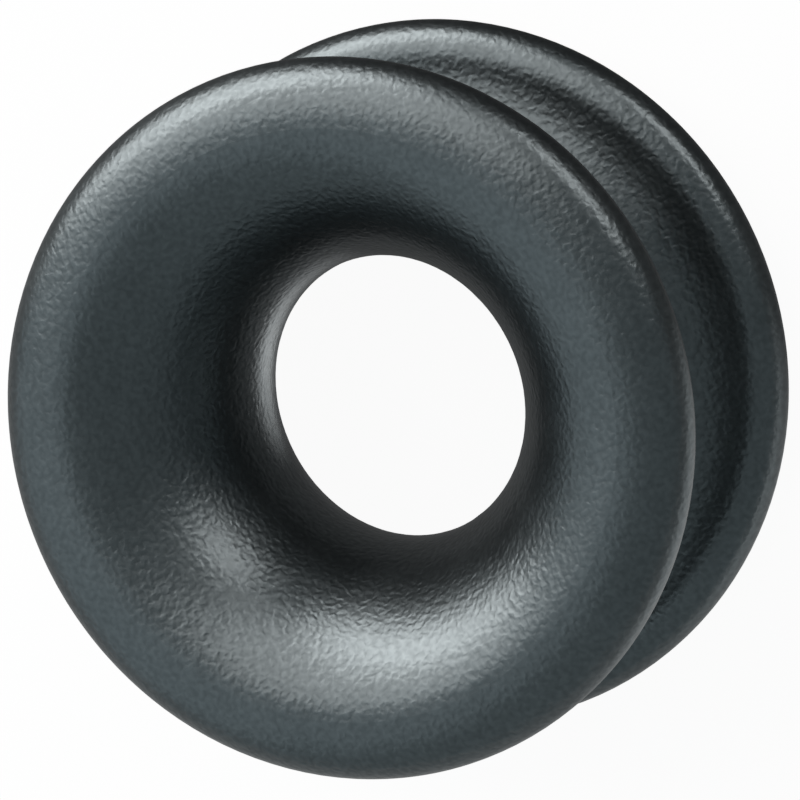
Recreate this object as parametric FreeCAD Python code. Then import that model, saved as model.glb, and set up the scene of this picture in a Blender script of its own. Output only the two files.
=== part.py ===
import FreeCAD, Part
import math
import os
from FreeCAD import Vector

# Low friction ring, turned from one piece of aluminium and hard anodised. Millimetres, +Z along the bore.
# The origin is the centre of the bore, halfway between the two faces, and the ring lies on its lower face.
# A line runs through the flared bore, and the loop of rope that holds the ring lies in the outer groove.

# Driving dimensions
OUTER_DIAMETER = 50.0
THICKNESS = 26.0
BORE_DIAMETER = 20.0
BORE_LAND = 0.8              # length of the straight wall at the narrowest place of the bore
CREST_DIAMETER = 41.0        # the circle on each face where the ring is thickest
FLARE_FULLNESS = 0.48        # how far the flare bulges into its corner: 0 is a cone, 0.707 a quarter ellipse
SHOULDER_DROP = 3.0          # from the face down to the flange's outermost line
FLANGE_THICKNESS = 5.2       # from the face down to the groove's mouth
LIP_DEPTH = 2.6              # how far the rounding into the groove reaches in from the rim
GROOVE_FLOOR_DIAMETER = 30.0

# Radii and heights that follow from them
OUTER_R = OUTER_DIAMETER / 2
BORE_R = BORE_DIAMETER / 2
CREST_R = CREST_DIAMETER / 2
FLOOR_R = GROOVE_FLOOR_DIAMETER / 2
MOUTH_R = OUTER_R - LIP_DEPTH         # where the groove is widest
FACE_Z = THICKNESS / 2
LAND_Z = BORE_LAND / 2
RIM_Z = FACE_Z - SHOULDER_DROP        # height of the flange's outermost line
MOUTH_Z = FACE_Z - FLANGE_THICKNESS   # half the width of the groove's mouth
ELLIPSE = math.sqrt(0.5)              # the fullness that makes a quarter ellipse


def section_point(radius, height, side):
    """A point of the section in the XZ plane. side is 1 for the upper half and -1 for the lower one."""
    return Vector(radius, 0, height * side)


def quarter_turn(start, corner, end, fullness):
    """A conic arc that leaves start and reaches end along the two sides of their corner."""
    curve = Part.BezierCurve()
    curve.setPoles([start, corner, end])
    curve.setWeight(2, fullness)
    return curve.toShape()


def flare(side):
    """The bore's mouth, which opens in one sweep from the straight wall to the face's highest circle."""
    return quarter_turn(
        section_point(BORE_R, LAND_Z, side),
        section_point(BORE_R, FACE_Z, side),
        section_point(CREST_R, FACE_Z, side),
        FLARE_FULLNESS,
    )


def shoulder(side):
    """The broad rounding of a flange's face, from its highest circle out and down to the rim."""
    return quarter_turn(
        section_point(CREST_R, FACE_Z, side),
        section_point(OUTER_R, FACE_Z, side),
        section_point(OUTER_R, RIM_Z, side),
        ELLIPSE,
    )


def lip(side):
    """The smaller rounding of a flange's rim into the groove."""
    return quarter_turn(
        section_point(OUTER_R, RIM_Z, side),
        section_point(OUTER_R, MOUTH_Z, side),
        section_point(MOUTH_R, MOUTH_Z, side),
        ELLIPSE,
    )


def groove_half(side):
    """Half of the rope groove: a hollow quarter ellipse from its mouth down to the middle of the floor."""
    return quarter_turn(
        section_point(MOUTH_R, MOUTH_Z, side),
        section_point(FLOOR_R, MOUTH_Z, side),
        section_point(FLOOR_R, 0, side),
        ELLIPSE,
    )


def bore_wall():
    """The short straight wall between the two flares."""
    return Part.makeLine(section_point(BORE_R, LAND_Z, -1), section_point(BORE_R, LAND_Z, 1))


def ring():
    """The whole ring: its section turned once round the bore's axis."""
    edges = [bore_wall()]
    for side in (1, -1):
        edges += [flare(side), shoulder(side), lip(side), groove_half(side)]
    outline = Part.Wire(Part.__sortEdges__(edges))
    return Part.Face(outline).revolve(Vector(0, 0, 0), Vector(0, 0, 1), 360)


os.makedirs("parts", exist_ok=True)
ring().exportStep("parts/ring.step")
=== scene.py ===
# %% [markdown]
# # A low friction ring
#
# A low friction ring is the simplest piece of deck hardware there is: a turned ring of aluminium, with no
# wheel and no bearing. A line slides through its bore, which flares like a trumpet at both ends, and a loop
# of rope lies in the groove round its outside and holds it. This lesson takes the exact shape of the ring
# from its CAD frame and gives it a hard anodised skin, a sheet of white paper to lie on, a few soft boxes
# and a camera.
#
# The real ring has one body and one finish, so the work is all in two places: the skin, which must look
# grown into the metal and not painted on it, and the light, which a round and shiny piece mirrors from
# nearly every direction.

# %% Load the CAD frame
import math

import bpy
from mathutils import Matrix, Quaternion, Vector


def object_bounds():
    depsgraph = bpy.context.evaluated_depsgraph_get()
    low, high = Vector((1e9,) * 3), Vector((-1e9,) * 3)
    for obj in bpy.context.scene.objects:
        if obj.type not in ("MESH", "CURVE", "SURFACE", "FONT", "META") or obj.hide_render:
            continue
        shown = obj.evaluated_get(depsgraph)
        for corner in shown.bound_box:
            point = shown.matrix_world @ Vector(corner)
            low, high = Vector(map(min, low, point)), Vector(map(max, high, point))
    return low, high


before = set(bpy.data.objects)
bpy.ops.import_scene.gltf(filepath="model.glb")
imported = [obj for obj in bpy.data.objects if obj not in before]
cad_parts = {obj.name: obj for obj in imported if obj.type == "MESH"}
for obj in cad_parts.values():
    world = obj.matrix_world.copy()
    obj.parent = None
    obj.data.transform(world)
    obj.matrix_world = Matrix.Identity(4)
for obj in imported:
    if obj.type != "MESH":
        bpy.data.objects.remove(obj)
cad_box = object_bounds()

# %% [markdown]
# ## The turned body
#
# The ring is a body of revolution. Its section could be drawn again here and spun with a Screw modifier, but
# the CAD solid is already that surface, finely faceted and exactly to size, so its mesh stays as it is. All
# that the lesson needs from it is its size: lengths below are given in millimetres, and the camera's
# distance in radii.

MM = 0.001
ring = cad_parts["ring"]
low, high = cad_box
RADIUS = (high.x - low.x) / 2
FLOOR_LEVEL = low.z
print(f"ring: {2 * RADIUS / MM:.1f} mm across, {(high.z - low.z) / MM:.1f} mm thick")
print(f"its mesh has {len(ring.data.polygons)} faces, and it lies on z = {FLOOR_LEVEL / MM:.1f} mm")

# %% [markdown]
# ## Two helpers for materials
#
# Every finish below is a small tree of nodes. The first helper starts a tree that holds nothing but its
# output, so that each node in it is one that the lesson has named. The second adds a node and sets its
# sockets by name, which keeps a node and its numbers on one line.

# %% Start a material
def new_material(name):
    """A material whose node tree holds only its output."""
    material = bpy.data.materials.new(name)
    material.use_nodes = True
    material.node_tree.nodes.clear()
    output = material.node_tree.nodes.new("ShaderNodeOutputMaterial")
    return material, output


# %% Add a node
def add_node(tree, kind, **inputs):
    """A node of this kind. Its sockets' values are given by name, with _ for a space."""
    node = tree.nodes.new(kind)
    for name, value in inputs.items():
        node.inputs[name.replace("_", " ")].default_value = value
    return node


# %% [markdown]
# ## Hard anodising
#
# Hard anodising turns the outside of the aluminium into a dark oxide that is part of the metal. The oxide is
# translucent, and the metal shines through it, so highlights keep the cool charcoal of the skin and never go
# white as they do on paint. A Principled BSDF with a dark base colour and Metallic at 1 behaves that way.
#
# The skin starts with a place on the ring for each point. Object coordinates are metres in the ring's own
# space, so a pattern made from them has the same scale on the faces, in the bore and in the groove, without
# any unwrapping.

# %% Begin the skin
anodised, anodised_output = new_material("charcoal hard anodising")
skin_tree = anodised.node_tree
place = add_node(skin_tree, "ShaderNodeTexCoord")
print(f"skin: {anodised.name}")

# %% [markdown]
# ### Leathery relief
#
# Before it is anodised the ring is tumbled in a drum of small stones, which rounds its edges and leaves low,
# worm-like hills less than half a millimetre apart. Close by they make the surface look like fine leather.
# They are only a few hundredths of a millimetre high, far too low to change the outline, so a bump is the
# right tool for them: modelled hills would need millions of faces. The stones are all of one size, so the
# noise has no finer detail on its hills. A little distortion makes them run into each other.

# %% Hills from tumbling
HILL_SPACING = 0.39 * MM
HILL_HEIGHT = 0.034 * MM
HILL_WANDER = 0.35

hills = add_node(skin_tree, "ShaderNodeTexNoise", Scale=1 / HILL_SPACING, Detail=0.0, Distortion=HILL_WANDER)
skin_tree.links.new(place.outputs["Object"], hills.inputs["Vector"])
relief = add_node(skin_tree, "ShaderNodeBump", Strength=1.0, Distance=HILL_HEIGHT)
skin_tree.links.new(hills.outputs["Fac"], relief.inputs["Height"])
print(f"hills {HILL_SPACING / MM:.2f} mm apart and up to {HILL_HEIGHT / MM:.3f} mm high")

# %% [markdown]
# ### Tone
#
# The tone follows the hills: the valleys are darker and the hilltops lighter, so the leathery pattern still
# shows in the middle of a highlight, where a bump alone would vanish. A colour ramp reads the same noise as
# the bump, so dark and light sit exactly on the valleys and the hills.
#
# Over the whole ring the oxide is a little uneven as well, in clouds of several millimetres, because the
# current in the bath is. A second, slow noise moves the brightness by a few per cent, too little to see as
# a pattern.

# %% Valleys and hilltops
VALLEY_LEVEL = 0.2
VALLEY_COLOUR = (0.093, 0.107, 0.111, 1)
HILLTOP_LEVEL = 0.8
HILLTOP_COLOUR = (0.124, 0.142, 0.147, 1)

tone = add_node(skin_tree, "ShaderNodeValToRGB")
tone.color_ramp.elements[0].position = VALLEY_LEVEL
tone.color_ramp.elements[0].color = VALLEY_COLOUR
tone.color_ramp.elements[1].position = HILLTOP_LEVEL
tone.color_ramp.elements[1].color = HILLTOP_COLOUR
skin_tree.links.new(hills.outputs["Fac"], tone.inputs["Fac"])
print(f"tone: {VALLEY_COLOUR[:3]} in the valleys, {HILLTOP_COLOUR[:3]} on the hilltops")

# %% Clouds from the bath
CLOUD_SIZE = 5.0 * MM
CLOUD_GAP = 0.3
CLOUD_MIDDLE = 0.7
DARKEST_CLOUD = 0.96
LIGHTEST_CLOUD = 1.04

clouds = add_node(skin_tree, "ShaderNodeTexNoise", Scale=1 / CLOUD_SIZE, Detail=2.0, Roughness=0.5)
skin_tree.links.new(place.outputs["Object"], clouds.inputs["Vector"])
cloud_value = add_node(skin_tree, "ShaderNodeMapRange", From_Min=CLOUD_GAP, From_Max=CLOUD_MIDDLE)
cloud_value.inputs["To Min"].default_value = DARKEST_CLOUD
cloud_value.inputs["To Max"].default_value = LIGHTEST_CLOUD
skin_tree.links.new(clouds.outputs["Fac"], cloud_value.inputs["Value"])
clouded = add_node(skin_tree, "ShaderNodeHueSaturation")
skin_tree.links.new(tone.outputs["Color"], clouded.inputs["Color"])
skin_tree.links.new(cloud_value.outputs["Result"], clouded.inputs["Value"])
print(f"clouds {CLOUD_SIZE / MM:.0f} mm wide, from {DARKEST_CLOUD} to {LIGHTEST_CLOUD} of the tone")

# %% [markdown]
# ### Satin sheen
#
# The sheen is satin: a lamp's reflection is spread into a wide, soft glow. That is a roughness of about a
# third. It follows the clouds by a few hundredths, so that broad highlights aren't perfectly even.

# %% Satin skin
SMOOTHEST = 0.32
ROUGHEST = 0.36

sheen = add_node(skin_tree, "ShaderNodeMapRange", From_Min=CLOUD_GAP, From_Max=CLOUD_MIDDLE)
sheen.inputs["To Min"].default_value = SMOOTHEST
sheen.inputs["To Max"].default_value = ROUGHEST
skin_tree.links.new(clouds.outputs["Fac"], sheen.inputs["Value"])
skin = add_node(skin_tree, "ShaderNodeBsdfPrincipled", Metallic=1.0)
skin_tree.links.new(clouded.outputs["Color"], skin.inputs["Base Color"])
skin_tree.links.new(sheen.outputs["Result"], skin.inputs["Roughness"])
skin_tree.links.new(relief.outputs["Normal"], skin.inputs["Normal"])
skin_tree.links.new(skin.outputs["BSDF"], anodised_output.inputs["Surface"])
for material_slot in ring.material_slots:
    material_slot.material = anodised
print(f"satin skin: roughness {SMOOTHEST} to {ROUGHEST}, on {len(ring.material_slots)} slot of the ring")

# %% [markdown]
# ## White paper
#
# The ring lies flat on a sheet of white paper that curves up at its far edge, so that no horizon shows. A
# big plane would do from above, but a round sweep with a raised rim looks the same from every side. It is a
# flat disc, a fan of triangles round its middle, with rows of faces at its edge that turn upwards through a
# quarter circle.

# %% Points of the paper sweep
PAPER_RADIUS = 3.0
SWEEP_HEIGHT = 0.25
SWEEP_STEPS = 12
PAPER_SIDES = 96

rows = [(PAPER_RADIUS, FLOOR_LEVEL)]
for step in range(1, SWEEP_STEPS + 1):
    rise = math.radians(90 * step / SWEEP_STEPS)
    row_radius = PAPER_RADIUS + SWEEP_HEIGHT * math.sin(rise)
    row_height = FLOOR_LEVEL + SWEEP_HEIGHT * (1 - math.cos(rise))
    rows.append((row_radius, row_height))
points = [(0, 0, FLOOR_LEVEL)]
for radius, height in rows:
    for side in range(PAPER_SIDES):
        angle = 2 * math.pi * side / PAPER_SIDES
        points.append((radius * math.cos(angle), radius * math.sin(angle), height))
print(f"paper sweep: {len(points)} points in {len(rows)} rows round the middle one")

# %% Faces of the paper sweep
faces = []
for side in range(PAPER_SIDES):
    after = (side + 1) % PAPER_SIDES
    faces.append((0, 1 + side, 1 + after))
    for row in range(SWEEP_STEPS):
        inner = 1 + row * PAPER_SIDES
        outer = inner + PAPER_SIDES
        faces.append((inner + side, outer + side, outer + after, inner + after))
paper_mesh = bpy.data.meshes.new("paper")
paper_mesh.from_pydata(points, [], faces)
paper_mesh.shade_smooth()
paper = bpy.data.objects.new("paper", paper_mesh)
bpy.context.collection.objects.link(paper)
print(f"paper sweep: {len(faces)} faces, {2 * PAPER_RADIUS:.0f} m across")

# %% [markdown]
# ### How white it looks
#
# In a catalogue picture the paper is nearly pure white while the ring keeps its dark tones. More light would
# wash out the ring, so the paper is mixed from two parts instead. A small part is matt and takes the ring's
# soft shadow. The large part glows with a strength of 1, which is white, but only for rays that come from
# the camera or from a reflection, so it sheds no light on the ring. Light Path tells the two apart.

# %% Who sees the glow
PAPER_COLOUR = (0.9, 0.9, 0.9, 1)
GLOW_SHARE = 0.95

white_paper, white_paper_output = new_material("white paper")
paper_tree = white_paper.node_tree
light_path = add_node(paper_tree, "ShaderNodeLightPath")
direct = add_node(paper_tree, "ShaderNodeMath")
direct.operation = "MAXIMUM"
paper_tree.links.new(light_path.outputs["Is Camera Ray"], direct.inputs[0])
paper_tree.links.new(light_path.outputs["Is Glossy Ray"], direct.inputs[1])
seen = add_node(paper_tree, "ShaderNodeMath")
seen.operation = "MAXIMUM"
paper_tree.links.new(direct.outputs["Value"], seen.inputs[0])
paper_tree.links.new(light_path.outputs["Is Transmission Ray"], seen.inputs[1])
share = add_node(paper_tree, "ShaderNodeMath")
share.operation = "MULTIPLY"
share.inputs[1].default_value = GLOW_SHARE
paper_tree.links.new(seen.outputs["Value"], share.inputs[0])
print(f"paper: {GLOW_SHARE:.0%} glow and {1 - GLOW_SHARE:.0%} matt")

# %% [markdown]
# ### How the ring mirrors it
#
# A real sheet of paper isn't evenly lit, and the dark metal mirrors that. Here that light is painted: for
# reflected rays the glow slopes from nearly nothing on one side to half strength on the other, as if one side
# of the ring got more light than the other. The slope is a dot product of each point's direction with the
# bright one, which runs from -1 to 1, and a Map Range makes a strength of it. The light of the room will have
# such a slope too, so it gets a helper.
#
# A direction is given by two angles, as seen from the ring: azimuth turns anticlockwise from +X, and
# elevation goes up from the floor.

# %% Find a direction
def direction_of(azimuth, elevation=0):
    """The direction with these two angles, in degrees, as a vector of length 1."""
    around, above = math.radians(azimuth), math.radians(elevation)
    return Vector((math.cos(around) * math.cos(above), math.sin(around) * math.cos(above), math.sin(above)))


# %% Slope a strength
def slope_towards(tree, way, bright_side, dim, bright):
    """A strength that depends on the way: bright towards the azimuth of the bright side, dim opposite."""
    likeness = add_node(tree, "ShaderNodeVectorMath")
    likeness.operation = "DOT_PRODUCT"
    likeness.inputs[1].default_value = direction_of(bright_side)
    tree.links.new(way, likeness.inputs[0])
    level = add_node(tree, "ShaderNodeMapRange", From_Min=-1, From_Max=1, To_Min=dim, To_Max=bright)
    tree.links.new(likeness.outputs["Value"], level.inputs["Value"])
    print(f"slope: {dim} to {bright}, brightest towards {bright_side} degrees")
    return level


# %% Painted slope of the glow in reflections
spot_on_paper = add_node(paper_tree, "ShaderNodeTexCoord")
paper_way = add_node(paper_tree, "ShaderNodeVectorMath")
paper_way.operation = "NORMALIZE"
paper_tree.links.new(spot_on_paper.outputs["Object"], paper_way.inputs[0])
# Painted reflection: the glow that reflected rays see slopes from dim on one side to bright on the other.
painted_reflection_slope = slope_towards(paper_tree, paper_way.outputs["Vector"], bright_side=141, dim=0.01, bright=0.50)

# %% [markdown]
# ### A painted pool of light, and a painted shadow under the bore
#
# Two places on the paper stand out from that slope, and both are painted into the glow. Beside the ring a
# painted pool of full light draws the thin bright line along the near flange's edge, because a dark metal
# mirrors brightly where it is seen at a grazing angle. Under the bore a painted shadow keeps the paper low
# and even, where the ring shades it. Both are round, so one helper lays them: a Map Range reads the distance
# to the patch's centre and goes from the patch's strength to what lies outside it.

# %% Lay a round painted patch on the paper's glow
def lay_patch(outside, azimuth, distance, inner_radius, outer_radius, strength):
    """A round painted patch of this strength, with a soft edge, over what the paper has outside it."""
    centre = direction_of(azimuth) * distance
    centre.z = FLOOR_LEVEL
    from_centre = add_node(paper_tree, "ShaderNodeVectorMath")
    from_centre.operation = "DISTANCE"
    from_centre.inputs[1].default_value = centre
    paper_tree.links.new(spot_on_paper.outputs["Object"], from_centre.inputs[0])
    patch = add_node(paper_tree, "ShaderNodeMapRange", From_Min=inner_radius, From_Max=outer_radius)
    patch.inputs["To Min"].default_value = strength
    paper_tree.links.new(from_centre.outputs["Value"], patch.inputs["Value"])
    paper_tree.links.new(outside.outputs["Result"], patch.inputs["To Max"])
    print(f"patch: {strength} within {inner_radius / MM:.1f} mm, {distance / MM:.0f} mm from the middle")
    return patch


# %% Painted pool of light
# Painted pool of light: beside the ring the glow that reflected rays see is at full strength.
painted_light_pool = lay_patch(
    painted_reflection_slope, azimuth=220, distance=60 * MM, inner_radius=20 * MM, outer_radius=40 * MM, strength=1.0
)

# %% Painted shadow under the bore
# Painted shadow: under the bore the glow that reflected rays see drops to a low, even level.
painted_bore_shadow = lay_patch(
    painted_light_pool, azimuth=0, distance=0, inner_radius=13.5 * MM, outer_radius=15.5 * MM, strength=0.14
)

# %% [markdown]
# ### The finished paper
#
# The strength of the glow is 1 for the camera and the painted value above for reflected rays, which Light
# Path tells apart once more. A Mix Shader then lays the matt share and the glow over each other.

# %% Mix the paper
glow_strength = add_node(paper_tree, "ShaderNodeMapRange", To_Min=1.0)
paper_tree.links.new(light_path.outputs["Is Glossy Ray"], glow_strength.inputs["Value"])
paper_tree.links.new(painted_bore_shadow.outputs["Result"], glow_strength.inputs["To Max"])
glow = add_node(paper_tree, "ShaderNodeEmission", Color=(1, 1, 1, 1))
paper_tree.links.new(glow_strength.outputs["Result"], glow.inputs["Strength"])
matt = add_node(paper_tree, "ShaderNodeBsdfDiffuse", Color=PAPER_COLOUR)
both = add_node(paper_tree, "ShaderNodeMixShader")
paper_tree.links.new(share.outputs["Value"], both.inputs["Fac"])
paper_tree.links.new(matt.outputs["BSDF"], both.inputs[1])
paper_tree.links.new(glow.outputs["Emission"], both.inputs[2])
paper_tree.links.new(both.outputs["Shader"], white_paper_output.inputs["Surface"])
paper_mesh.materials.append(white_paper)
print(f"paper: {len(paper_tree.nodes)} nodes in {white_paper.name}")

# %% [markdown]
# ## The room
#
# The walls and the ceiling of a studio send a little light back from everywhere. A world of one even grey
# would do that too, but the room is brighter on the side of the windows, and a slope across it keeps the two
# flanks of the ring apart. The world is slightly cool, as daylight in a white room is.

# %% Light of the room
ROOM_COLOUR = (0.89, 1.0, 1.04, 1)

room = bpy.data.worlds.new("studio room")
bpy.context.scene.world = room
room.use_nodes = True
room_tree = room.node_tree
walls = room_tree.nodes["Background"]
walls.inputs["Color"].default_value = ROOM_COLOUR
room_way = add_node(room_tree, "ShaderNodeTexCoord")
windows = slope_towards(room_tree, room_way.outputs["Generated"], bright_side=118, dim=0.23, bright=0.43)
room_tree.links.new(windows.outputs["Result"], walls.inputs["Strength"])
print(f"room: colour {ROOM_COLOUR[:3]}")

# %% [markdown]
# ## Soft boxes
#
# On a shiny round piece a lamp isn't just light, it is a shape that the metal mirrors. The flare is hollow
# and the shoulder bulges, so each box shows twice: low in the flare, and again on the rim across from it. A
# point lamp would leave a hard dot there. An area light in the form of an oval is a soft box with its
# corners rounded off.
#
# The helper places a box by its azimuth and elevation. Its size is given as angles too, because that is what
# the metal mirrors, and its brightness as radiance, where 1 is the brightness of lit white paper. The watts
# that Blender wants follow from both.

# %% Place a soft box
LAMP_DISTANCE = 0.8


def soft_box(name, azimuth, elevation, half_width, half_height, radiance, colour):
    """An oval soft box that faces the ring. Angles are in degrees, as seen from the ring."""
    data = bpy.data.lights.new(name, "AREA")
    data.shape = "ELLIPSE"
    data.size = 2 * LAMP_DISTANCE * math.tan(math.radians(half_width))
    data.size_y = 2 * LAMP_DISTANCE * math.tan(math.radians(half_height))
    data.energy = radiance * math.pi * (math.pi / 4 * data.size * data.size_y)
    data.color = colour
    box = bpy.data.objects.new(name, data)
    bpy.context.collection.objects.link(box)
    away = direction_of(azimuth, elevation)
    box.location = away * LAMP_DISTANCE
    box.rotation_mode = "QUATERNION"
    box.rotation_quaternion = away.to_track_quat("Z", "Y")
    box.visible_camera = False
    print(f"{name}: {data.size:.2f} by {data.size_y:.2f} m, {data.energy:.1f} W")


# %% [markdown]
# ### Key
#
# The key is one large box, low over the paper. It makes the broad glow in the lower part of the flare and
# the bright line along the upper rim. A real box is hottest in front of its lamp and falls off to its edges,
# so it is made of two ovals: a wide, bright core, and a larger and dimmer one above it.

# %% Key box
KEY_COLOUR = (1.05, 1.0, 0.98)

soft_box("key core", azimuth=16, elevation=17, half_width=33, half_height=17, radiance=4.1, colour=KEY_COLOUR)
soft_box("key glow", azimuth=4, elevation=44, half_width=38, half_height=28, radiance=1.7, colour=KEY_COLOUR)

# %% [markdown]
# ### Strip and fill
#
# A low, narrow box on the right makes the small second glow on the left of the flare, and marks the right
# rim. On the left a large, weak box lifts the flank that the key doesn't reach. Without it that side would
# sink into black.

# %% Strip box and fill
FILL_COLOUR = (0.92, 1.0, 1.06)

soft_box("strip", azimuth=-62, elevation=16, half_width=18, half_height=7, radiance=4.4, colour=KEY_COLOUR)
soft_box("fill", azimuth=84, elevation=43, half_width=35, half_height=41, radiance=0.32, colour=FILL_COLOUR)

# %% [markdown]
# ### A slip of card in the bore
#
# The wall on the left of the hole mirrors something small and bright from below. Lighting the whole paper
# under the bore would light the wall all round, so a slip of card does it: a tiny disc just above the paper,
# turned towards that wall. The spread of an area light limits the angle it shines into, like the fold of a
# card.

# %% Slip of card
SLIP_DIAMETER = 5 * MM
SLIP_PLACE = Vector((1.5 * MM, 6 * MM, FLOOR_LEVEL + 3 * MM))
SLIP_SPREAD = 80
SLIP_RADIANCE = 0.35

slip_data = bpy.data.lights.new("slip of card", "AREA")
slip_data.shape = "DISK"
slip_data.size = SLIP_DIAMETER
slip_data.spread = math.radians(SLIP_SPREAD)
slip_data.energy = SLIP_RADIANCE * math.pi * (math.pi / 4 * SLIP_DIAMETER ** 2)
slip = bpy.data.objects.new("slip of card", slip_data)
bpy.context.collection.objects.link(slip)
wallwards = direction_of(azimuth=15, elevation=58)
slip.location = SLIP_PLACE
slip.rotation_mode = "QUATERNION"
slip.rotation_quaternion = (-wallwards).to_track_quat("Z", "Y")
slip.visible_camera = False
print(f"slip of card: {SLIP_DIAMETER / MM:.0f} mm across, with a spread of {SLIP_SPREAD} degrees")

# %% [markdown]
# ## Camera
#
# The ring is seen from a steep angle, 23 degrees away from its axis, through a long lens: the near flange
# looks barely larger than the far one, which takes a distance of many radii. The camera is first turned so
# that it looks along that line, then rolled about it, which puts the flange behind on the upper right. Its
# distance stays fixed, and the lens is set so that the ring's radius fills the wanted number of pixels. The
# last step slides the camera sideways, so that the ring sits in the frame as it does in the photograph.

# %% Line of sight
CAMERA_DISTANCE = 26 * RADIUS
VIEW_TILT = math.radians(22.85)
VIEW_ROLL = math.radians(114.99)

back = Vector((0, -math.sin(VIEW_TILT), math.cos(VIEW_TILT)))
turn = back.to_track_quat("Z", "Y") @ Quaternion((0, 0, 1), -VIEW_ROLL)
right = turn @ Vector((1, 0, 0))
up = turn @ Vector((0, 1, 0))
print(f"line of sight: {math.degrees(VIEW_TILT):.2f} degrees off the bore's axis")

# %% Lens and frame
PICTURE = 800
RADIUS_IN_PICTURE = 361.0
CENTRE_IN_PICTURE = (-0.95, -4.17)
SENSOR_WIDTH = 36
FARTHEST_SEEN = 20

lens_data = bpy.data.cameras.new("camera")
lens_data.sensor_width = SENSOR_WIDTH
lens_data.lens = CAMERA_DISTANCE / RADIUS * RADIUS_IN_PICTURE / PICTURE * SENSOR_WIDTH
lens_data.clip_end = FARTHEST_SEEN
camera = bpy.data.objects.new("camera", lens_data)
bpy.context.collection.objects.link(camera)
metres_per_pixel = RADIUS / RADIUS_IN_PICTURE
slide = (up * CENTRE_IN_PICTURE[1] - right * CENTRE_IN_PICTURE[0]) * metres_per_pixel
camera.location = back * CAMERA_DISTANCE + slide
camera.rotation_mode = "QUATERNION"
camera.rotation_quaternion = turn
bpy.context.scene.camera = camera
print(f"camera: {lens_data.lens:.0f} mm lens, {CAMERA_DISTANCE:.2f} m from the ring")

# %% [markdown]
# ## Colours as written
#
# The Standard view shows a colour as it was written, without the film-like curve that Blender uses by
# default. The paper then comes out white where its strength is 1, and the charcoal keeps its value.

# %% View transform
bpy.context.scene.view_settings.view_transform = "Standard"
print(f"view transform: {bpy.context.scene.view_settings.view_transform}")
